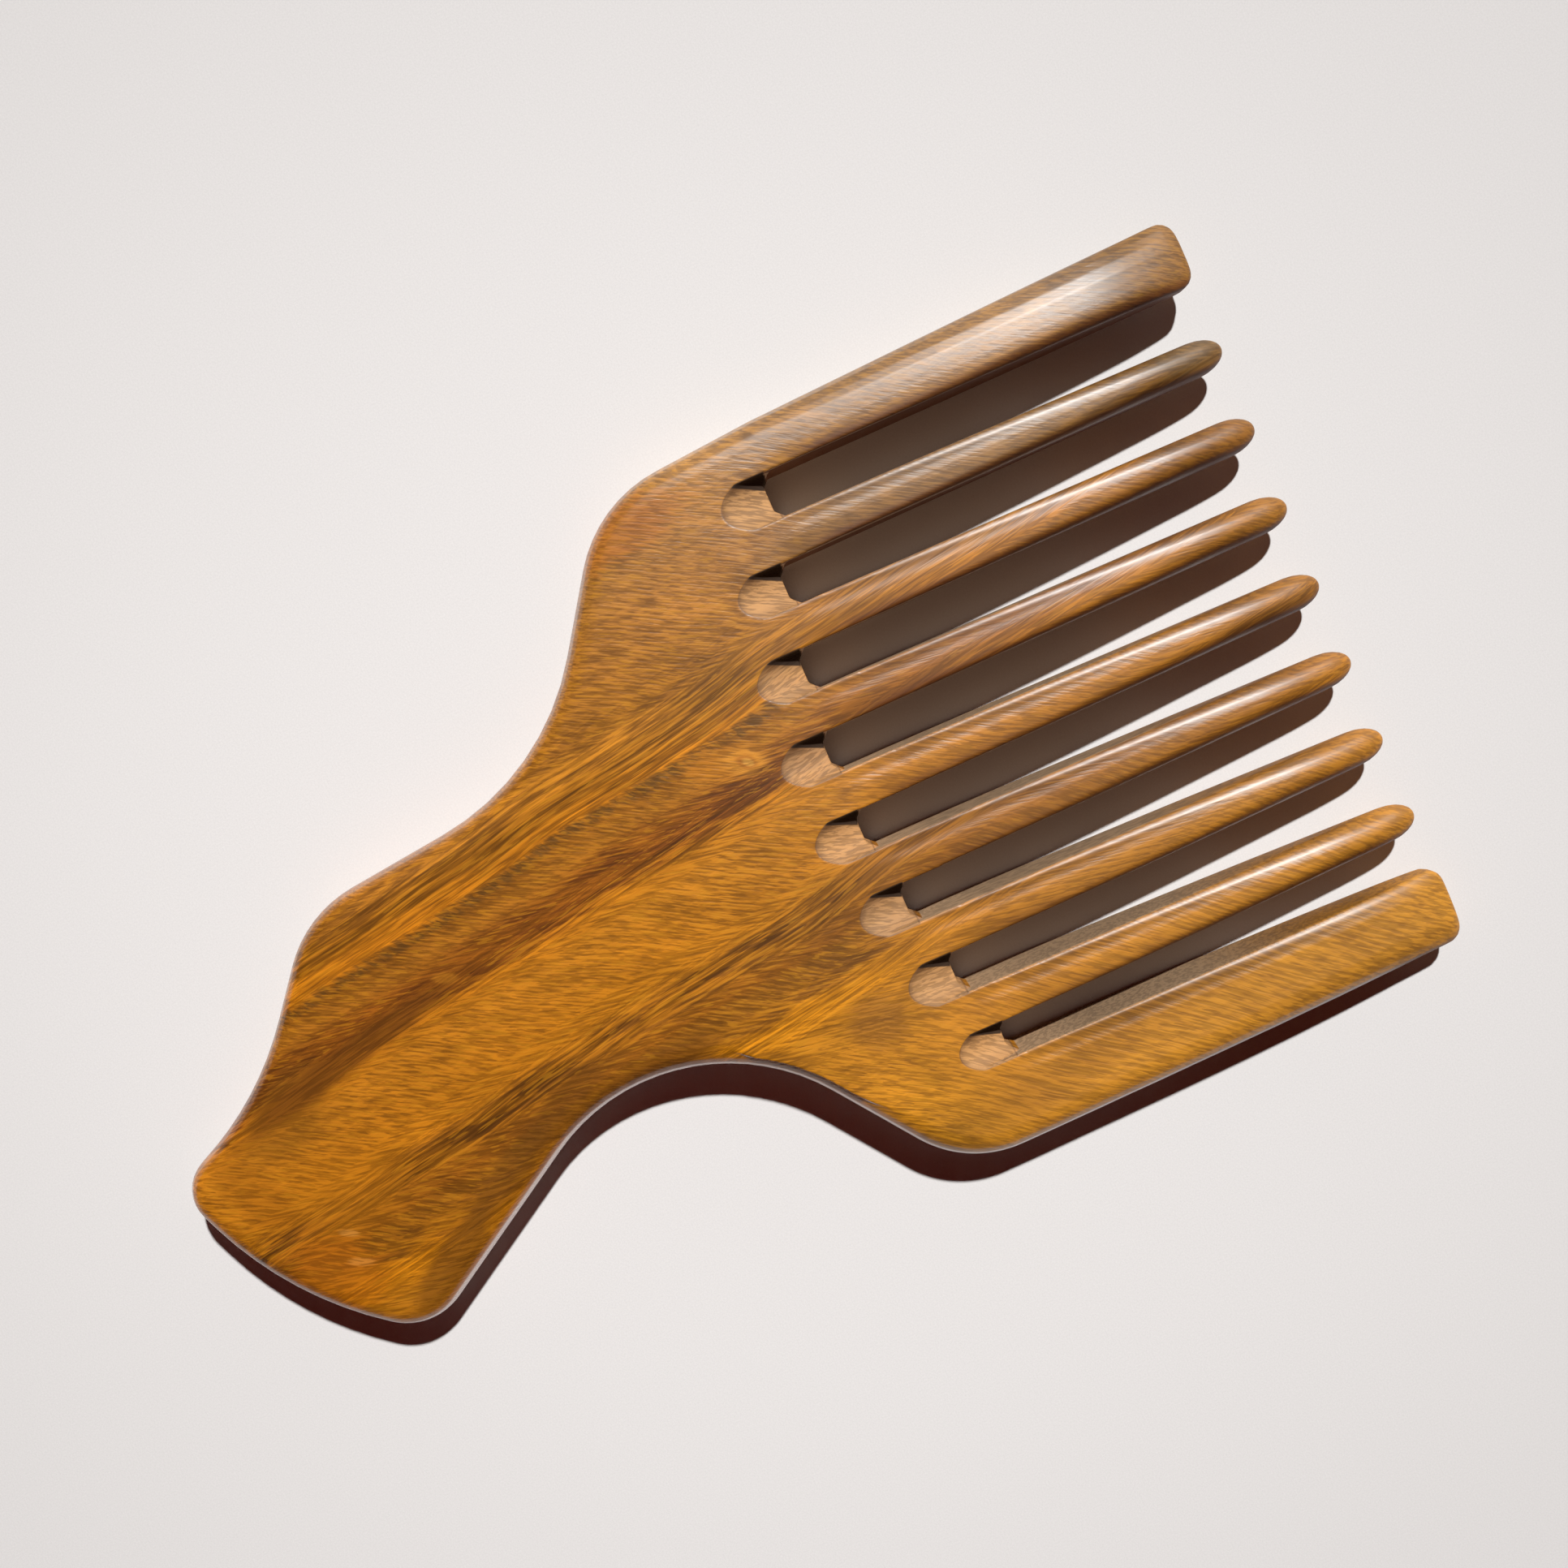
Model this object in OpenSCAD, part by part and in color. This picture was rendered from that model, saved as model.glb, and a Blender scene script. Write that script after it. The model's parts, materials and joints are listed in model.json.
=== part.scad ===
// Wide-tooth hair pick, carved from a single board of hardwood.
// It lies flat: Y runs from the butt of the handle to the tips, Z through the board.

/* [Board] */
// Thickness of the board through the handle and the head
board_t = 10; // [8:0.5:13]
// Length from the butt of the handle to the front of the head
body_l = 114.7; // [100:0.1:130]
// Radius worked along the outer edges of the board
edge_r = 3.3; // [1.5:0.1:3.8]

/* [Round teeth] */
// Number of round teeth between the two outer tines
tooth_count = 7; // [4:1:9]
// Free length of the teeth and tines in front of the head
tooth_l = 63.3; // [45:0.1:75]
// Spacing of the round teeth, centre to centre
tooth_pitch = 11.6; // [10.8:0.1:13]
// Width of a round tooth where it leaves the head
tooth_root_w = 5.7; // [5:0.1:6.4]
// Width of a round tooth where its point begins
tooth_tip_w = 5; // [3.5:0.1:5.6]
// Thickness of the teeth and tines at their tips
tip_t = 5.7; // [4.5:0.1:8]
// Length of a tooth's rounded point, seen from above
point_l = 4.5; // [3:0.1:7]
// Length over which the teeth and tines thin down to their ends
nose_l = 9; // [7:0.5:13]

/* [Outer tines] */
// Gap between the left tine and the first round tooth, at the head
left_gap = 6.4; // [5:0.1:8]
// Gap between the last round tooth and the right tine, at the head
right_gap = 5.1; // [4.6:0.1:8]
// Width of the left tine where it leaves the head
left_root_w = 7.5; // [6.5:0.1:10]
// Width of the left tine at its end
left_tip_w = 9.7; // [8.5:0.1:11]
// Width of the right tine where it leaves the head
right_root_w = 12.5; // [9:0.1:14]
// Width of the right tine at its end
right_tip_w = 11.1; // [9:0.1:13]
// Width over which the outer side of the left tine is rounded off
left_round_w = 6; // [3.5:0.1:6.5]
// Width over which the outer side of the right tine is rounded off
right_round_w = 4.2; // [3.5:0.1:6.5]
// Width over which the inner side of a tine is rounded off at its end
inner_round_w = 2.6; // [1:0.1:3]
// Radius of the corners at the end of a tine
tine_corner_r = 2.4; // [1:0.1:3]

/* [Slot roots] */
// Distance from the front of the head back to the outermost slot roots
root_back = 1.7; // [1.5:0.1:5]
// How much deeper the middle of the head is slotted than its sides
root_arch = 7; // [0:0.5:12]
// Size of the 45 degree corner left at each side of a slot root
corner_cut = 1.3; // [0.6:0.1:1.4]
// Length of the sloping scoop that leads into a slot root
scoop_l = 6.8; // [4:0.1:10]
// Depth of the scoop where it meets the slot root
scoop_d = 2.5; // [1:0.1:3.5]

/* [Hidden] */
$fn = 48;

// Room that a cutter runs past the face it cuts
overrun = 1;
// Flat steps in a quarter turn of a rounded edge
edge_steps = 5;
// Flat steps round each corner of the outline, for its six left and its three right corners
left_steps = 8;
right_steps = 17;
// Stations along a tooth up to its nose, and round the nose
tooth_stations = 8;
nose_stations = 8;
// Last angle of a point or a tine end, where a small flat closes it
point_turn = 84;

// Corners of the outline, each as shares: how far along the body from the butt to the front, how far
// across the head from its middle, and its radius along the body.
left_corner_shares = [
    // Slight bend half way along the butt
    [0.056, 0.303, 0.45],
    // Left corner of the butt
    [-0.016, 0.11, 0.049],
    // Hollow for the heel of the hand
    [0.124, 0.044, 0.42],
    // Hump at the back of the hand
    [0.271, -0.153, 0.154],
    // Left side of the neck
    [0.606, -0.192, 0.317],
    // Left shoulder of the head
    [0.794, -0.484, 0.17]
];
right_corner_shares = [
    // Right corner of the butt
    [0.2, 0.42, 0.078],
    // Waist for the fingers
    [0.631, 0.136, 0.252],
    // Right shoulder of the head
    [0.882, 0.502, 0.139]
];
// The slot roots lie on an arch that rises from the middle with this power of the distance
arch_power = 1.5;
// Share of the scoop's radius in the gap
scoop_r_share = 0.82;
// Powers of the way along with which the teeth and the tines thin towards their tips
tooth_taper_power = 1.5;
tine_taper_power = 3.5;
// Powers of the way along with which the round of an arris spreads over the top and down the side
top_round_power = 1.2;
side_round_power = 2.5;
// The same for the outer side of a tine, which is already round where it leaves the head
outer_round_power = 0.5;
// Share of full roundness where a tooth leaves the head, and the most that it reaches
crisp_share = 0.08;
round_share = 0.97;
// Share of the half thickness that the inner side of a tine loses to its round, at most
inner_share = 0.4;
// Share of a tine's thickness that is rounded away at its end
end_round_share = 0.7;

slot_count = tooth_count + 1;
teeth_w = (tooth_count - 1) * tooth_pitch + tooth_root_w;
head_left = -teeth_w / 2 - left_gap - left_root_w;
head_right = teeth_w / 2 + right_gap + right_root_w;
head_w = head_right - head_left;
head_mid = (head_left + head_right) / 2;
// Inner sides of the two tines
left_inner = head_left + left_root_w;
right_inner = head_right - right_root_w;

function mix(a, b, s) = a + (b - a) * s;
function side_of(a) = [-sin(a), cos(a)];
function heading(p, q) = atan2(q.y - p.y, q.x - p.x);
function turn(a, b) = (b - a) - 360 * round((b - a) / 360);

// One rounded corner of the outline as stations, each a point and its outward normal
function corner(p, q, next, r, steps, out) =
    let (
        a = heading(p, q),
        bend = turn(a, heading(q, next)),
        start = q - r * tan(abs(bend) / 2) * [cos(a), sin(a)],
        centre = start + sign(bend) * r * side_of(a)
    )
    [
        for (k = [0:steps])
            let (h = a + bend * k / steps)
            [centre - sign(bend) * r * side_of(h), out * side_of(h)]
    ];

function placed(share) = [head_mid + share[1] * head_w, (share[0] - 1) * body_l];

// A side of the body: from the butt, round its corners and up to the front of the head
function body_side(before, shares, end, steps, out) =
    let (path = concat([before], [for (s = shares) placed(s)], [end]))
    concat(
        [
            for (i = [1:len(shares)])
                each corner(path[i - 1], path[i], path[i + 1], shares[i - 1][2] * body_l, steps, out)
        ],
        [[end, [-out, 0]]]
    );

left_side = body_side(placed(right_corner_shares[0]), left_corner_shares, [head_left, 0], left_steps, 1);
right_side = body_side(placed(left_corner_shares[0]), right_corner_shares, [head_right, 0], right_steps, -1);

// A rounded edge from top to bottom: t thick, rounded over an inset a and a height b
function edge(p, normal, t, a, b) =
    let (
        upper = [
            for (k = [0:edge_steps])
                let (q = 90 * k / edge_steps)
                [a * (1 - sin(q)), t / 2 - b * (1 - cos(q))]
        ]
    )
    [
        for (k = [0:2 * edge_steps + 1])
            let (u = k > edge_steps ? upper[2 * edge_steps + 1 - k] : upper[k])
            [
                p.x - normal.x * u[0],
                p.y - normal.y * u[0],
                board_t / 2 + (k > edge_steps ? -u[1] : u[1])
            ]
    ];

function reversed(list) = [for (k = [len(list) - 1:-1:0]) list[k]];
function ring(right_edge, left_edge) = concat(right_edge, reversed(left_edge));

// A closed skin over rings of points, each ring down its right edge and up its left edge
module skin(rings) {
    n = len(rings[0]);
    last = (len(rings) - 1) * n;
    walls = [
        for (i = [0:len(rings) - 2], j = [0:n - 1])
            let (a = i * n + j, b = i * n + (j + 1) % n)
            each [[a, a + n, b + n], [a, b + n, b]]
    ];
    rungs = [for (j = [0:n / 2 - 2]) [j, j + 1, n - 2 - j, n - 1 - j]];
    ends = [
        for (r = rungs)
            each [
                [r[0], r[1], r[2]],
                [r[0], r[2], r[3]],
                [last + r[2], last + r[1], last + r[0]],
                [last + r[3], last + r[2], last + r[0]]
            ]
    ];
    polyhedron(points = [for (r = rings) each r], faces = concat(walls, ends), convexity = 4);
}

// Handle and head, with the outer edges rounded over
module paddle() {
    skin([
        for (i = [0:len(left_side) - 1])
            ring(
                edge(right_side[i][0], right_side[i][1], board_t, edge_r, edge_r),
                edge(left_side[i][0], left_side[i][1], board_t, edge_r, edge_r)
            )
    ]);
}

function thickness(s, power) = mix(board_t, tip_t, pow(s, power));
// Shares of a tooth's half width and half thickness that are rounded, at a share s along it
function top_round(s) = mix(crisp_share, round_share, pow(s, top_round_power));
function side_round(s) = mix(crisp_share, round_share, pow(s, side_round_power));

// A section across a tooth between two sides, with each side's own rounding as inset and height
function section(y, left, right, t, left_round, right_round) =
    ring(
        edge([right, y], [1, 0], t, right_round[0], right_round[1]),
        edge([left, y], [-1, 0], t, left_round[0], left_round[1])
    );

// Stations of a tooth or tine, each as its distance from the head and the turn of its nose
nose_y = tooth_l - nose_l;
stations = concat(
    [for (k = [0:tooth_stations]) [nose_y * k / tooth_stations, 0]],
    [
        for (k = [1:nose_stations])
            let (q = point_turn * k / nose_stations)
            [nose_y + nose_l * sin(q), q]
    ]
);
// How far a station is into an end of length l, as a share of it
function into_end(y, l) = max(0, 1 - (tooth_l - y) / l);

// One of the round teeth: square where it leaves the head and rounder towards its point
module tooth(x) {
    skin([
        for (station = stations)
            let (
                y = station[0],
                s = min(1, y / (tooth_l - point_l)),
                w = mix(tooth_root_w, tooth_tip_w, s) * sqrt(1 - pow(into_end(y, point_l), 2)),
                t = thickness(s, tooth_taper_power) * cos(station[1]),
                worn = [top_round(s) * w, side_round(s) * t] / 2
            )
            section(y, x - w / 2, x + w / 2, t, worn, worn)
    ]);
}

// An outer tine: its inner side runs straight on from the slot, and it widens on the other side,
// which is the right one where outward is 1 and the left one where it is -1
module tine(inner_x, root_w, tip_w, round_w, outward) {
    // A section at y, turned q round the nose
    function cut(y, q) =
        let (
            s = min(1, y / (tooth_l - tine_corner_r)),
            drawn = tine_corner_r * (1 - sqrt(1 - pow(into_end(y, tine_corner_r), 2))),
            w = mix(root_w, tip_w, s),
            in_x = inner_x + outward * drawn,
            out_x = inner_x + outward * (w - drawn),
            t = thickness(s, tine_taper_power) * (1 - end_round_share * (1 - cos(q))),
            // Share of the two rounds for which a narrow section has room
            room = min(1, round_share * (w - 2 * drawn) / (round_w + inner_round_w)),
            in_round = [top_round(s) * room * inner_round_w, inner_share * side_round(s) * t / 2],
            out_round = [
                mix(edge_r, room * round_w, pow(s, outer_round_power)),
                min(edge_r, round_share * t / 2)
            ]
        )
        outward > 0
            ? section(y, in_x, out_x, t, in_round, out_round)
            : section(y, out_x, in_x, t, out_round, in_round);
    skin([for (station = stations) cut(station[0], station[1])]);
}

// Centre of a tooth, and the two sides of a slot at the head
function tooth_x(i) = (i - (tooth_count - 1) / 2) * tooth_pitch;
function slot_left(i) = i == 0 ? left_inner : tooth_x(i - 1) + tooth_root_w / 2;
function slot_right(i) = i == tooth_count ? right_inner : tooth_x(i) - tooth_root_w / 2;
// Place of a slot's root behind the front of the head
function root_y(i) =
    let (from_middle = abs(i - tooth_count / 2) / (tooth_count / 2))
    -root_back - root_arch * (1 - pow(from_middle, arch_power));

// A slot sawn right through the head, its root cornered
module slot(i) {
    l = slot_left(i);
    r = slot_right(i);
    y = root_y(i);
    translate([0, 0, -overrun])
        linear_extrude(board_t + 2 * overrun)
            polygon([
                [l, overrun],
                [l, y + corner_cut],
                [l + corner_cut, y],
                [r - corner_cut, y],
                [r, y + corner_cut],
                [r, overrun]
            ]);
}

// A round-bottomed scoop that slopes from the upper face into the root of a slot
module scoop(i) {
    gap = slot_right(i) - slot_left(i);
    r = gap * scoop_r_share;
    slope = atan(scoop_d / scoop_l);
    intersection() {
        translate([(slot_left(i) + slot_right(i)) / 2, root_y(i) - scoop_l, board_t])
            rotate([-slope, 0, 0])
                translate([0, -scoop_l, r])
                    rotate([-90, 0, 0])
                        cylinder(r = r, h = 3 * scoop_l);
        translate([slot_left(i), root_y(i) - 2 * scoop_l, 0])
            cube([gap, 2 * scoop_l + corner_cut, board_t + 2 * r]);
    }
}

module slotted_head() {
    difference() {
        paddle();
        for (i = [0:slot_count - 1]) {
            slot(i);
            scoop(i);
            translate([0, 0, board_t])
                mirror([0, 0, 1])
                    scoop(i);
        }
    }
}

// The pick lies centred on the box round its outline
outline_x = concat(
    [left_inner - left_tip_w, right_inner + right_tip_w],
    [for (s = concat(left_side, right_side)) s[0].x]
);
butt_y = min([for (s = concat(left_side, right_side)) s[0].y]);
end_y = nose_y + nose_l * sin(point_turn);
middle = [(min(outline_x) + max(outline_x)) / 2, (butt_y + end_y) / 2];

module pick_body() {
    color([0.72, 0.46, 0.17])
        translate([-middle.x, -middle.y, 0])
            union() {
                slotted_head();
                for (i = [0:tooth_count - 1])
                    tooth(tooth_x(i));
                tine(left_inner, left_root_w, left_tip_w, left_round_w, -1);
                tine(right_inner, right_root_w, right_tip_w, right_round_w, 1);
            }
}

pick_body();
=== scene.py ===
import json
import math

import bpy
from mathutils import Matrix, Vector


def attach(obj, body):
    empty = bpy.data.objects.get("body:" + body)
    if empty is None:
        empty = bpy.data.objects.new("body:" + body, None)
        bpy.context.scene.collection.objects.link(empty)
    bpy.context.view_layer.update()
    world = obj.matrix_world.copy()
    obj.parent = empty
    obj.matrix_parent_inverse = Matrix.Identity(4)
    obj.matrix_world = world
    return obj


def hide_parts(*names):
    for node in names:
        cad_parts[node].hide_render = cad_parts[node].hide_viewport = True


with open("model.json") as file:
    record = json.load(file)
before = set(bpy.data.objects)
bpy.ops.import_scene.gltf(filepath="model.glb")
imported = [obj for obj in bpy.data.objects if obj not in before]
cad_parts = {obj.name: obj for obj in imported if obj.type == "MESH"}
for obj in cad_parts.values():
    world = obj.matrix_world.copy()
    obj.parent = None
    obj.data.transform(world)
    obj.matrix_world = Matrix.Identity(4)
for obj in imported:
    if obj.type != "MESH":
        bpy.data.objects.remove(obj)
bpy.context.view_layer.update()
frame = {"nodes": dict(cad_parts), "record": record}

# The camera.
# It looks down on the pick from a little towards the free side of the head, rolled so that the teeth
# point up and to the right.
camera_at = Vector((-0.020, 0.0163, 0.232))
camera_aim = Vector((-0.005, 0.0103, 0.005))
camera_roll = math.radians(23.7)
camera_lens_mm = 37.5

forward = (camera_aim - camera_at).normalized()
teeth_way = Vector((0, 1, 0))
teeth_way = (teeth_way - forward * teeth_way.dot(forward)).normalized()
across_way = teeth_way.cross(forward) * -1
picture_right = teeth_way * math.cos(camera_roll) + across_way * math.sin(camera_roll)
picture_up = teeth_way * math.sin(camera_roll) - across_way * math.cos(camera_roll)

lens = bpy.data.cameras.new("camera")
lens.lens = camera_lens_mm
lens.sensor_width = 36.0
lens.clip_start = 0.01
camera = bpy.data.objects.new("camera", lens)
bpy.context.collection.objects.link(camera)
camera_turn = Matrix((picture_right, picture_up, -forward)).transposed().to_4x4()
camera.matrix_world = Matrix.Translation(camera_at) @ camera_turn
bpy.context.scene.camera = camera


# The table.
# A plain pale sheet, matt and faintly grained, with a painted falloff of light that dims it away from the
# pick.
# The pick just lies on it.
class Field:
    """A value or colour at each point of a surface: sums are written as sums, other nodes by one method."""

    tree = None

    def __init__(self, socket):
        self.socket = socket

    @classmethod
    def node(cls, kind, settings=None, sockets=None, out=0):
        """A new node, with its settings first and then the values or links of its sockets."""
        made = cls.tree.nodes.new("ShaderNode" + kind)
        for name, value in (settings or {}).items():
            if name == "stops":
                cls.place_stops(made.color_ramp.elements, value)
            else:
                setattr(made, name, value)
        for name, value in (sockets or {}).items():
            if isinstance(value, Field):
                cls.tree.links.new(value.socket, made.inputs[name])
            else:
                made.inputs[name].default_value = value
        return cls(made.outputs[out] if made.outputs else None)

    @staticmethod
    def place_stops(elements, stops):
        """A colour ramp's stops, each a place from 0 to 1 and a colour."""
        while len(elements) < len(stops):
            elements.new(1.0)
        for element, (place, _) in zip(elements, stops):
            element.position = place
        for element, (_, colour) in zip(elements, stops):
            element.color = colour

    def math(self, operation, *others):
        return Field.node("Math", {"operation": operation}, dict(enumerate((self, *others))))

    def __add__(self, other):
        return self.math("ADD", other)

    def __sub__(self, other):
        return self.math("SUBTRACT", other)

    def __mul__(self, other):
        return self.math("MULTIPLY", other)

    def __truediv__(self, other):
        return self.math("DIVIDE", other)

    def __rsub__(self, other):
        return self * -1.0 + other

    __radd__ = __add__
    __rmul__ = __mul__


def new_material(name):
    """An empty material, whose tree the next fields are drawn in."""
    made = bpy.data.materials.new(name)
    made.use_nodes = True
    made.node_tree.nodes.clear()
    Field.tree = made.node_tree
    return made


def shade(colour, times):
    """A colour made darker or lighter all over."""
    return Field.node("VectorMath", {"operation": "SCALE"}, {0: colour, "Scale": times})


def rise(value, low, high):
    """0 on low's side, 1 on high's side, and a smooth rise between."""
    smooth = {"interpolation_type": "SMOOTHSTEP"}
    return Field.node("MapRange", smooth, {"Value": value, "From Min": low, "From Max": high})


table_half = 3.0
table_colour = (0.775, 0.77, 0.765)
# Millimetres from the pick's middle where the painted falloff begins to dim the table and where it is
# dimmest
bright_to, dim_from = 40.0, 200.0
painted_falloff_share = 0.16
grain_size = 0.25
grain_share = 0.16

bpy.ops.object.select_all(action="DESELECT")
bpy.ops.mesh.primitive_plane_add(size=2 * table_half, location=(0, 0, 0))
table = bpy.context.active_object
table.name = "table"
table.data.materials.append(new_material("matt_table"))
place = shade(Field.node("TexCoord", out="Object"), 1000.0)
around = Field.node("VectorMath", {"operation": "LENGTH"}, {0: place}, out="Value")
# Painted falloff of light: the table's colour is dimmed away from the pick
painted_falloff = 1.0 - rise(around, bright_to, dim_from) * painted_falloff_share
grain = Field.node(
    "TexNoise", sockets={"Vector": place, "Scale": 1 / grain_size, "Detail": 1.0, "Roughness": 0.6}
)
table_tone = shade(table_colour, (1.0 + (grain - 0.5) * grain_share) * painted_falloff)
table_skin = Field.node(
    "BsdfPrincipled", sockets={"Base Color": table_tone, "Roughness": 0.7, "Specular IOR Level": 0.0}
)
Field.node("OutputMaterial", sockets={"Surface": table_skin})


# The studio light.
# One soft lamp stands off the free side of the head and past the teeth, far enough to light the table
# evenly. The room is dark and warm but for a low pale wall on the lamp's side, so that shadows are deep.
def mix(colour, other, share):
    """One colour turning into another as a share goes from 0 to 1."""
    colours = {"data_type": "RGBA", "clamp_factor": True}
    return Field.node("Mix", colours, {0: share, 6: colour, 7: other}, out=2)


lamp_way = Vector((-0.69, 0.45, 1.0)).normalized()
lamp_distance = 20.0
lamp_across = 0.7
lamp_watts = 5350.0
wall_way = (-0.84, 0.54, 0.0)
wall_glow = (0.55, 0.53, 0.52, 1)
room_glow = (0.036, 0.003, 0.002, 1)
backdrop = (0.74, 0.725, 0.71, 1)

lamp_data = bpy.data.lights.new("soft_lamp", "AREA")
lamp_data.shape = "DISK"
lamp_data.size = lamp_across
lamp_data.energy = lamp_watts
lamp_data.color = (1.0, 0.99, 0.975)
lamp = bpy.data.objects.new("soft_lamp", lamp_data)
lamp.location = lamp_way * lamp_distance
lamp.rotation_euler = lamp_way.to_track_quat("Z", "Y").to_euler()
bpy.context.collection.objects.link(lamp)

room = bpy.data.worlds.new("room")
room.use_nodes = True
room.node_tree.nodes.clear()
bpy.context.scene.world = room
Field.tree = room.node_tree
way = Field.node("TexCoord", out="Generated")
height = Field.node("SeparateXYZ", sockets={0: way}, out="Z")
wallward = Field.node("VectorMath", {"operation": "DOT_PRODUCT"}, {0: way, 1: wall_way}, out="Value")
pale_wall = rise(wallward, 0.45, 0.85) * rise(height, 0.55, 0.20)
seen = Field.node("LightPath", out="Is Camera Ray")
around_pick = mix(room_glow, wall_glow, pale_wall)
glow = Field.node("Background", sockets={"Color": mix(around_pick, backdrop, seen), "Strength": 1.0})
Field.node("OutputWorld", sockets={"Surface": glow})

# The pick.
# It is carved from one board of figured hardwood: band-sawn to its outline, its slots cut and then scooped
# at their roots, its teeth and rims rounded, and all but the slots' walls sanded and oiled.
arris_wear = 0.00022
sanding_passes = 2
most_triangles = 190000

stock = frame["nodes"]["pick_body"]
pick = bpy.data.objects.new("carved_pick", stock.data.copy())
bpy.context.collection.objects.link(pick)
bpy.ops.object.select_all(action="DESELECT")
pick.select_set(True)
bpy.context.view_layer.objects.active = pick
pick.data.materials.clear()
bpy.ops.object.mode_set(mode="EDIT")
bpy.ops.mesh.select_all(action="SELECT")
bpy.ops.mesh.remove_doubles(threshold=0.000001)
bpy.ops.object.mode_set(mode="OBJECT")

worn = pick.modifiers.new("worn", "REMESH")
worn.mode = "VOXEL"
worn.voxel_size = arris_wear
bpy.ops.object.modifier_apply(modifier="worn")
sanded = pick.modifiers.new("sanded", "SMOOTH")
sanded.factor = 0.5
sanded.iterations = sanding_passes
bpy.ops.object.modifier_apply(modifier="sanded")
thinned = pick.modifiers.new("thinned", "DECIMATE")
thinned.ratio = min(1.0, most_triangles / (2.0 * len(pick.data.polygons)))
bpy.ops.object.modifier_apply(modifier="thinned")
bpy.ops.object.shade_smooth()

# Every pattern runs through the whole board, in millimetres, on points that wander as the tree's fibres did
wander_size = 30.0
wander_by = (3.4, 2.0, 2.0)
pick.data.materials.append(new_material("oiled_timber"))
board = shade(Field.node("TexCoord", out="Object"), 1000.0)
wander = Field.node(
    "TexNoise", sockets={"Vector": board, "Scale": 1 / wander_size, "Detail": 1.0}, out="Color"
)
shift = Field.node(
    "VectorMath", {"operation": "MULTIPLY_ADD"}, {0: wander, 1: wander_by, 2: [-by / 2 for by in wander_by]}
)
bent = Field.node("VectorMath", {"operation": "ADD"}, {0: board, 1: shift})
x, y, z = (Field.node("SeparateXYZ", sockets={0: board}, out=axis) for axis in "XYZ")
bent_x, bent_y = (Field.node("SeparateXYZ", sockets={0: bent}, out=axis) for axis in "XY")
facing = Field.node("TexCoord", out="Normal")
facing_x, facing_y, facing_z = (Field.node("SeparateXYZ", sockets={0: facing}, out=axis) for axis in "XYZ")
level = facing_z.math("ABSOLUTE")


def noise(where, detail=2.0, roughness=0.5):
    """Smooth uneven values round 0.5, one swing for each unit of where."""
    return Field.node(
        "TexNoise", sockets={"Vector": where, "Scale": 1.0, "Detail": detail, "Roughness": roughness}
    )


def lying(lean, across, along, deep):
    """The board's points along fibres that lean to +X by so many degrees, in units of a fleck's size."""
    return Field.node(
        "Mapping",
        {"vector_type": "TEXTURE"},
        {"Vector": bent, "Rotation": (0, 0, math.radians(-lean)), "Scale": (across, along, deep)},
    )


def patch(at_x, at_y, lean, half_width, half_length):
    """1 at a place in the board and less away from it, longer along a lean than across it."""
    turn = math.radians(lean)
    across = ((bent_x - at_x) * math.cos(turn) - (bent_y - at_y) * math.sin(turn)) / half_width
    along = ((bent_x - at_x) * math.sin(turn) + (bent_y - at_y) * math.cos(turn)) / half_length
    return ((across * across + along * along) * -1.0).math("EXPONENT")


# The growth bands, from the free side of the head to the other: where a band is, its colour, and how far
# its fibres turn away from the bands, from 0 for straight grain to 1 for the interlocked grain's full lean
band_slope = 0.16
band_dip = 0.45
board_top = 10.0
bands_from, bands_to = -60.0, 60.0
growth = (
    (-56.0, (0.40, 0.190, 0.040), 0.8),
    (-44.0, (0.40, 0.165, 0.025), 0.8),
    (-33.0, (0.41, 0.155, 0.018), 1.0),
    (-25.0, (0.38, 0.140, 0.010), 0.9),
    (-21.5, (0.42, 0.155, 0.010), 0.1),
    (-18.0, (0.37, 0.130, 0.005), 0.0),
    (-15.4, (0.50, 0.165, 0.005), 0.1),
    (-14.3, (0.27, 0.100, 0.008), 0.9),
    (-12.8, (0.31, 0.108, 0.007), 1.0),
    (-11.0, (0.40, 0.145, 0.010), 0.8),
    (-8.0, (0.28, 0.085, 0.005), 0.4),
    (-5.0, (0.22, 0.066, 0.004), 0.1),
    (-2.8, (0.50, 0.170, 0.006), 0.1),
    (0.5, (0.54, 0.195, 0.010), 0.9),
    (7.0, (0.48, 0.168, 0.007), 1.0),
    (10.0, (0.48, 0.168, 0.006), 0.3),
    (13.0, (0.36, 0.125, 0.006), 0.0),
    (15.0, (0.34, 0.118, 0.006), 0.1),
    (17.5, (0.27, 0.088, 0.005), 0.6),
    (19.5, (0.29, 0.105, 0.006), 1.0),
    (22.0, (0.38, 0.135, 0.006), 0.4),
    (25.0, (0.60, 0.210, 0.004), 0.1),
    (30.0, (0.46, 0.170, 0.008), 0.5),
    (38.0, (0.54, 0.200, 0.010), 0.9),
    (47.0, (0.54, 0.205, 0.008), 0.8),
    (50.5, (0.40, 0.155, 0.006), 1.0),
    (55.0, (0.58, 0.230, 0.010), 0.9),
)
fine_waver = noise(lying(-10.0, 4.0, 30.0, 6.0))
across_bands = bent_x + bent_y * band_slope + (z - board_top) * band_dip + (fine_waver - 0.5) * 3.0
stops = [((at - bands_from) / (bands_to - bands_from), (*colour, turn)) for at, colour, turn in growth]
band_share = (across_bands - bands_from) / (bands_to - bands_from)
tone = Field.node("ValToRGB", {"stops": stops}, {"Fac": band_share})
turned = Field(tone.socket.node.outputs["Alpha"])

# Streaks within the bands, and the fibres: short strokes that lie straight, half turned or fully turned
straight_lean, half_lean, full_lean = -11.0, 10.0, 28.0
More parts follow.
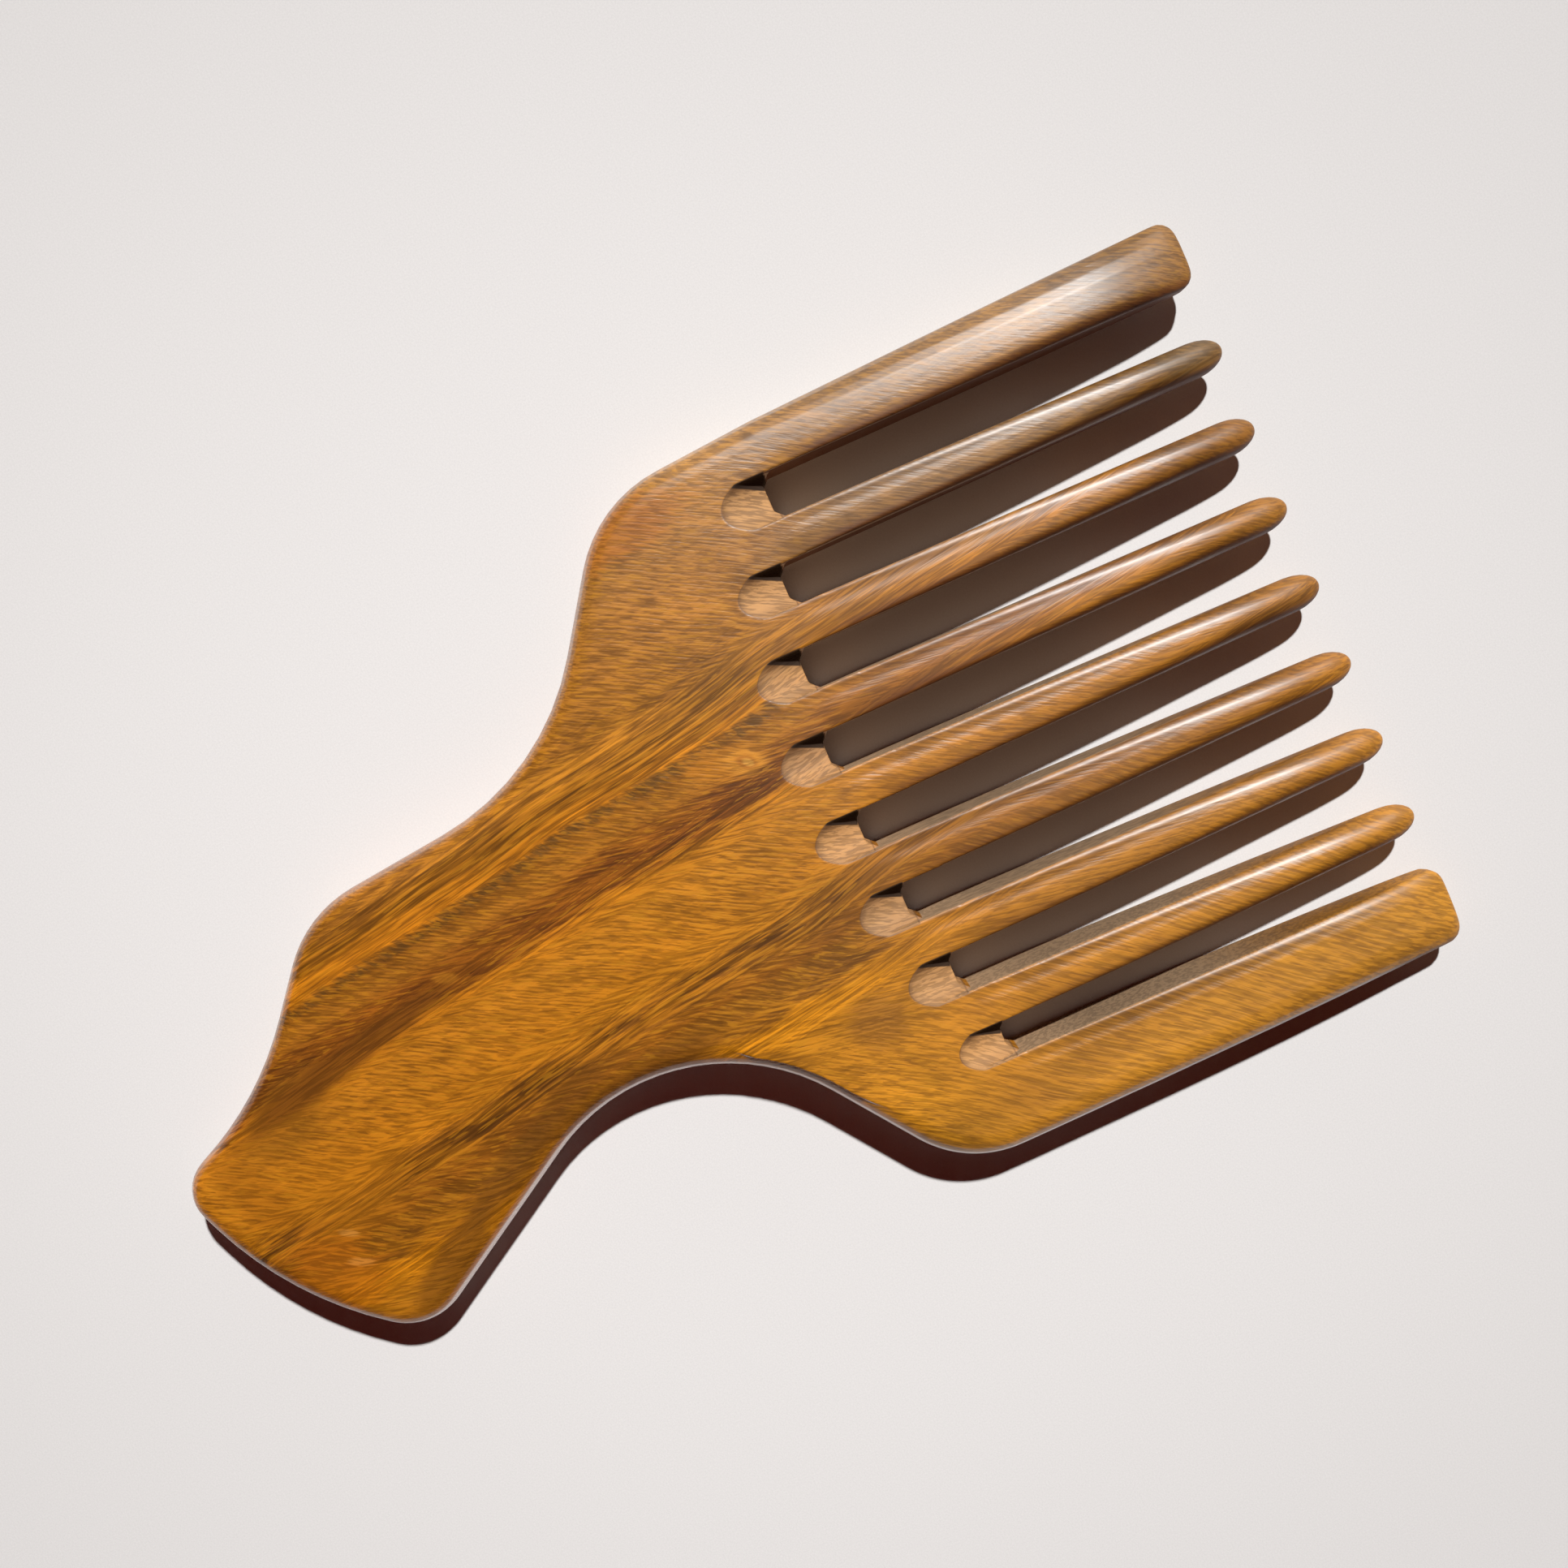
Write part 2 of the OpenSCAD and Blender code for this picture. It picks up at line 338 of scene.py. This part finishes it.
# The fibres of the right tine and the teeth beside it turn furthest
right_lean = 37.0
fibre_deep = 0.8
streaks = noise(lying(-10.0, 1.2, 40.0, 3.0), 4.0, 0.7)
straight_share = rise(turned, 0.45, 0.0)
full_share = rise(turned, 0.40, 0.85)


def fibres(across, along, detail):
    """Short strokes of a width and a length, turned out of the bands as far as the grain is."""
    straight = noise(lying(straight_lean, across, along * 1.9, fibre_deep), detail)
    half_turned = noise(lying(half_lean, across, along * 1.3, fibre_deep), detail)
    full_turned = noise(lying(full_lean, across, along, fibre_deep), detail)
    steep = noise(lying(right_lean, across * 1.2, along * 1.4, fibre_deep), detail)
    full_turned = full_turned + (steep - full_turned) * rise(y, 8.0, 28.0) * rise(x, 2.0, 20.0)
    between = half_turned * (1.0 - straight_share - full_share)
    return straight * straight_share + full_turned * full_share + between


strokes = fibres(0.30, 3.6, 2.0)
vessels = fibres(0.30, 2.4, 1.0)
dashes = rise(strokes, 0.45, 0.55)


def within(low, high, soft):
    """1 between two bands and 0 outside them, turning over a soft width."""
    return rise(across_bands, low - soft, low + soft) * rise(across_bands, high + soft, high - soft)


# Dark heartwood lies in the streaks as short slivers that lean a little out of the bands: from which band
# to which, the slivers' lean, their colour and their share
for low, high, lean, colour, share in (
    (-9.5, -3.0, 2.0, (0.140, 0.038, 0.004, 1), 0.75),
    (11.5, 16.0, -5.0, (0.150, 0.052, 0.006, 1), 0.75),
    (-27.0, -19.5, -7.0, (0.200, 0.070, 0.008, 1), 0.45),
    (20.0, 24.0, 6.0, (0.150, 0.050, 0.006, 1), 0.60),
):
    slivers = noise(lying(lean, 0.95, 8.5, 4.0), 3.0, 0.6)
    tone = mix(tone, colour, rise(slivers, 0.50, 0.56) * within(low, high, 1.5) * share)

# A row of small dark checks, set across the grain, follows one band from the handle to the head
check_colour = (0.130, 0.058, 0.010, 1)
checks = rise(noise(lying(48.0, 0.55, 2.6, 1.5)), 0.58, 0.44)
tone = mix(tone, check_colour, checks * within(-15.2, -13.2, 0.6) * rise(y, 24.0, 14.0) * 0.7)

# Light and dark from the long streaks, the fine lines of straight grain, the shimmer of turned grain, the
# mottle, and at last the strokes, the open pores and the pale fibres between them
pore_colour = (0.090, 0.030, 0.004, 1)
pale_fibre = (0.66, 0.27, 0.012, 1)
lines = rise(noise(lying(-11.0, 0.55, 34.0, 3.0)), 0.46, 0.54)
shimmer = noise(lying(24.0, 3.2, 9.0, 5.0))
mottle = noise(lying(10.0, 6.0, 13.0, 6.0), 1.0)
tone = shade(tone, 1.0 + (streaks - 0.5) * (0.7 + straight_share * 0.8))
tone = shade(tone, 1.0 + (lines - 0.5) * straight_share * 0.6)
tone = shade(tone, 1.02 + (shimmer - 0.5) * 0.7 + (mottle - 0.5) * 0.5)
tone = shade(tone, 0.79 + dashes * 0.38)
tone = mix(tone, pore_colour, rise(vessels, 0.45, 0.38) * 0.34)
tone = mix(tone, pale_fibre, rise(vessels, 0.56, 0.63) * 0.36)

# Knots, places where the wood runs darker, paler or more orange, and painted shade by the handle's right
# edge:
# where, lean, half sizes, colour, share
for at_x, at_y, lean, half_width, half_length, colour, share in (
    (-11.6, 4.5, 16.0, 2.4, 6.0, (0.55, 0.190, 0.010), 0.60),
    (-10.8, 6.6, 30.0, 2.0, 3.2, (0.32, 0.120, 0.012), 0.50),
    (-10.8, 6.6, 30.0, 1.7, 2.9, (0.62, 0.235, 0.018), 0.90),
    (-10.6, 6.9, 40.0, 0.9, 1.5, (0.38, 0.120, 0.010), 0.75),
    (-10.5, 7.1, 40.0, 0.5, 0.9, (0.66, 0.300, 0.040), 0.80),
    (0.5, -43.0, 20.0, 1.7, 3.2, (0.30, 0.090, 0.006), 0.50),
    (0.5, -43.0, 20.0, 0.9, 2.0, (0.56, 0.210, 0.014), 0.60),
    (23.0, -68.0, 0.0, 7.0, 9.0, (0.47, 0.165, 0.006), 0.50),
    (33.0, -74.0, 30.0, 6.0, 7.0, (0.48, 0.140, 0.004), 0.55),
    # The next three dark patches are painted shade on the turn of the handle's right edge
    (37.0, -58.0, -34.0, 2.6, 9.0, (0.14, 0.050, 0.005), 0.65),
    (29.0, -46.0, -31.0, 2.4, 10.0, (0.14, 0.050, 0.005), 0.60),
    (23.5, -35.5, -26.0, 2.2, 9.0, (0.16, 0.056, 0.005), 0.50),
    (-46.0, 0.0, 0.0, 4.0, 13.0, (0.46, 0.125, 0.007), 0.45),
    (25.0, -24.0, -8.0, 2.6, 12.0, (0.18, 0.060, 0.005), 0.70),
    (9.0, -71.0, -30.0, 4.5, 8.0, (0.24, 0.088, 0.006), 0.60),
    (18.0, -80.0, 60.0, 3.0, 7.0, (0.36, 0.120, 0.005), 0.50),
    (30.0, 9.0, 20.0, 4.0, 4.0, (0.26, 0.095, 0.012), 0.50),
    (-37.0, 84.0, 0.0, 4.0, 6.0, (0.20, 0.110, 0.030), 0.60),
    (28.0, -70.0, 24.0, 0.5, 1.5, (0.62, 0.270, 0.045), 0.55),
    (32.5, -70.0, 20.0, 0.6, 1.9, (0.62, 0.250, 0.040), 0.55),
    (5.5, -60.0, -14.7, 2.0, 18.0, (0.17, 0.054, 0.004), 0.80),
    (-34.8, 48.0, 0.0, 5.0, 28.0, (0.21, 0.105, 0.028), 0.50),
):
    spread = patch(at_x, at_y, lean, half_width, half_length) + (strokes - 0.5) * 0.8
    tone = mix(tone, shade(colour, 0.80 + dashes * 0.4), rise(spread, 0.15, 0.65) * share)

# The timber turns from gold to olive towards the teeth, which are more orange and darken at their points
butt_cast = (0.97, 0.95, 0.93, 1)
tip_cast = (0.93, 1.07, 1.5, 1)
tooth_colour = (0.47, 0.175, 0.016)
cast = mix(butt_cast, tip_cast, rise(y, -70.0, 80.0))
tone = Field.node("VectorMath", {"operation": "MULTIPLY"}, {0: tone, 1: cast})
tone = shade(tone, 0.92 + rise(y, -45.0, -5.0) * 0.11)
tone = mix(tone, shade(tooth_colour, 0.8 + dashes * 0.4), rise(y, 8.0, 26.0) * rise(x, -32.0, -28.0) * 0.4)
tone = shade(tone, 1.0 - rise(y, 64.0, 80.0) * (0.12 + rise(x, 8.0, -8.0) * 0.25))

# Its sides show deeper and redder than its faces, and those that face away from the light are painted in
# deep shade
handle_side_and_shade = (0.42, 0.045, 0.002, 1)
head_side_and_shade = (0.15, 0.036, 0.004, 1)
away = facing_x * 0.84 - facing_y * 0.54
side_and_shade_colour = mix(handle_side_and_shade, head_side_and_shade, rise(y, 0.0, 16.0))
tone = mix(tone, side_and_shade_colour, rise(level, 0.62, 0.22) * 0.15)
# Painted shade: the sides facing away from the lamp are darkened much further
tone = mix(tone, side_and_shade_colour, rise(level, 0.82, 0.40) * rise(away, -0.1, 0.3) * 0.8)

# The slots' walls that face the light are left as sawn and dry, up to near the teeth's points; only
# these lit walls are painted pale and grey, as painted light
lit_wall_colour = (0.41, 0.275, 0.16)
wall_from = 13.0
lit_sawn_walls = rise(facing_x, -0.90, -0.97) * rise(y, wall_from, wall_from + 2.0) * rise(y, 76.0, 50.0)
lit_sawn_walls = lit_sawn_walls * rise(x, -47.0, -45.0)
tone = mix(tone, shade(lit_wall_colour, 0.85 + dashes * 0.3), lit_sawn_walls * 0.9)
raw = lit_sawn_walls


def clamped(value):
    """A value held between 0 and 1."""
    return value.math("MAXIMUM", 0.0).math("MINIMUM", 1.0)


# The left tine leans to its outer side, and each tooth is crowned over a width beside its slots, a little
# higher than the carved round: the lit flank as a broad facet, the other one falling away
crown_width = 2.85
crown_height = 0.00076
facet_bend = 0.44
leaning = clamped((-46.2 - x) / 5.5)
crown = leaning.math("POWER", 1.25) * (1.0 - leaning * 0.45) * rise(y, 12.0, 30.0) * -2.1
# Painted under the highlight: the left tine's outer half is darkened so that its highlight reads silver
highlight_strips = rise(x, -45.5, -48.0) * rise(y, 12.0, 30.0)

# The scooped ends of the slots are raw too: pale end grain, painted shade under their rims, a thin dark line
# round their edges and a painted shadow in one corner
scoop_colour = (0.50, 0.29, 0.135)
shaded_colour = (0.12, 0.048, 0.014, 1)
rim_colour = (0.13, 0.055, 0.016, 1)
corner_shadow_colour = (0.020, 0.010, 0.006, 1)
flank_shade_colour = (0.13, 0.030, 0.003, 1)
board_middle = 5.0
# How far behind an opening's start its slot is cornered, the scoop's middle behind that, and half its length
corner_back = 1.5
scoop_back = 3.3
scoop_half = 4.0
for slot in frame["record"]["physics"]["openings"]:
    (left, start, _), (right, _, _) = ((1000.0 * side for side in corner) for corner in slot["box_m"])
    middle, half = (left + right) / 2, (right - left) / 2
    root = start - corner_back
    off_middle = (x - middle).math("ABSOLUTE")

    over_scoop = rise((y - (root - scoop_back)).math("ABSOLUTE"), scoop_half + 0.2, scoop_half - 0.2)
    cut_in = rise((z - board_middle).math("ABSOLUTE"), 4.99, 4.80).math("MAXIMUM", rise(level, 0.995, 0.96))
    scoop = rise(off_middle, half + 0.6, half + 0.2) * over_scoop * cut_in
    raw = raw.math("MAXIMUM", scoop)
    tone = mix(tone, shade(scoop_colour, 0.72 + dashes * 0.45), scoop * 0.65)
    # Painted shade inside the scoop, darkest under its rim on the side away from the light
    behind = (y - (root - 7.1 + half)).math("MINIMUM", 0.0)
    out_from_end = ((x - middle) * (x - middle) + behind * behind).math("SQRT") / (half + 0.4)
    shaded = rise(out_from_end, 0.40, 0.95) * rise(x, right + 1.5, middle - 0.5)
    tone = mix(tone, shaded_colour, scoop * shaded * 0.9)
    tone = mix(tone, rim_colour, scoop * (1.0 - scoop) * 2.4)
    # Painted shadow: the corner beside the scoop's left wall is made nearly black
    corner_shadow = rise((x - left) / 2.6 + (start - y) / 5.5, 1.04, 0.96)
    tone = mix(tone, corner_shadow_colour, scoop * rise(facing_x, 0.04, 0.12) * corner_shadow * 0.95)

    # Painted shade on the flank of the tooth left of the slot, the flank that faces away from the light
    shaded_flank = rise(left - x, 1.9, 0.7) * rise(x, middle - 1.0, middle - 1.5) * rise(y, root + 3.0, root + 10.0)
    tone = mix(tone, flank_shade_colour, shaded_flank * (0.38 + rise(x, 15.0, -20.0) * 0.32))
    rolled = clamped(1.0 - (off_middle - half) / crown_width)
    outer = (rolled - facet_bend).math("MAXIMUM", 0.0)
    inner = rolled.math("MINIMUM", facet_bend)
    facet = outer * outer * 1.4 - inner * inner * (1.5 * facet_bend - inner) * 5.2
    lit = rise(x, middle - 0.5, middle + 0.5)
    crown = crown + (facet * lit - rolled.math("POWER", 1.5) * (1.0 - lit)) * rise(y, root - 1.0, root + 5.0)
    # Painted under the highlight: each tooth's lamp-side crown is darkened so that its highlight reads
    # silver
    highlight_strips = highlight_strips.math("MAXIMUM", rise(rolled, 0.05, 0.35) * lit * rise(y, root + 2.0, root + 14.0))

# The teeth's lit crowns are painted darker under their highlights, and the rims' turn is painted pale as a
# painted reflection
rim_reflection_colour = (0.86, 0.77, 0.71, 1)
# The base is painted darker under the highlight strips
tone = shade(tone, 1.0 - highlight_strips * rise(y, 84.0, 76.0) * 0.32)
# Painted reflection of the bright table on the rims' turn, strongest on the sides away from the lamp
rim_reflection = rise(level, 0.74, 0.48) * rise(level, 0.03, 0.12) * (1.0 - raw) * rise(y, 70.0, 20.0)
rim_reflection = rim_reflection * (0.14 + rise(away, -0.2, 0.3) * 0.71)
tone = mix(tone, rim_reflection_colour, rim_reflection)

# The palm has smoothed the handle. The oil lies thickest on the teeth, and their points are nearly bare
fibre_height = 0.00006
toothward = rise(y, -20.0, 45.0)
tips = rise(y, 73.0, 82.0)
oil = (1.0 - raw) * (0.30 + toothward * 0.70) * (1.0 - tips * 0.7) * (1.0 - leaning * 0.15)
crowned = Field.node("Bump", sockets={"Height": crown * rise(y, 87.0, 77.0), "Distance": crown_height})
fibrous = Field.node(
    "Bump", sockets={"Height": strokes + streaks * 0.5, "Distance": fibre_height, "Normal": crowned}
)
timber = Field.node(
    "BsdfPrincipled",
    sockets={
        "Base Color": tone,
        # Metallic on the pale rims strengthens their painted reflection
        "Metallic": rim_reflection * rise(away, 0.0, 0.4) * 0.4,
        "Roughness": 0.27 + toothward * 0.18 + raw * 0.35 + tips * 0.15 + (strokes - 0.5) * 0.15,
        "Specular IOR Level": 0.5,
        "Coat Weight": oil * rise(level, 0.05, 0.35),
        "Coat Roughness": 0.42,
        "Coat IOR": 1.6,
        "Normal": fibrous,
    },
)
Field.node("OutputMaterial", sockets={"Surface": timber})

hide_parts("pick_body")
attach(pick, "root")

bpy.context.scene.view_settings.view_transform = "Standard"
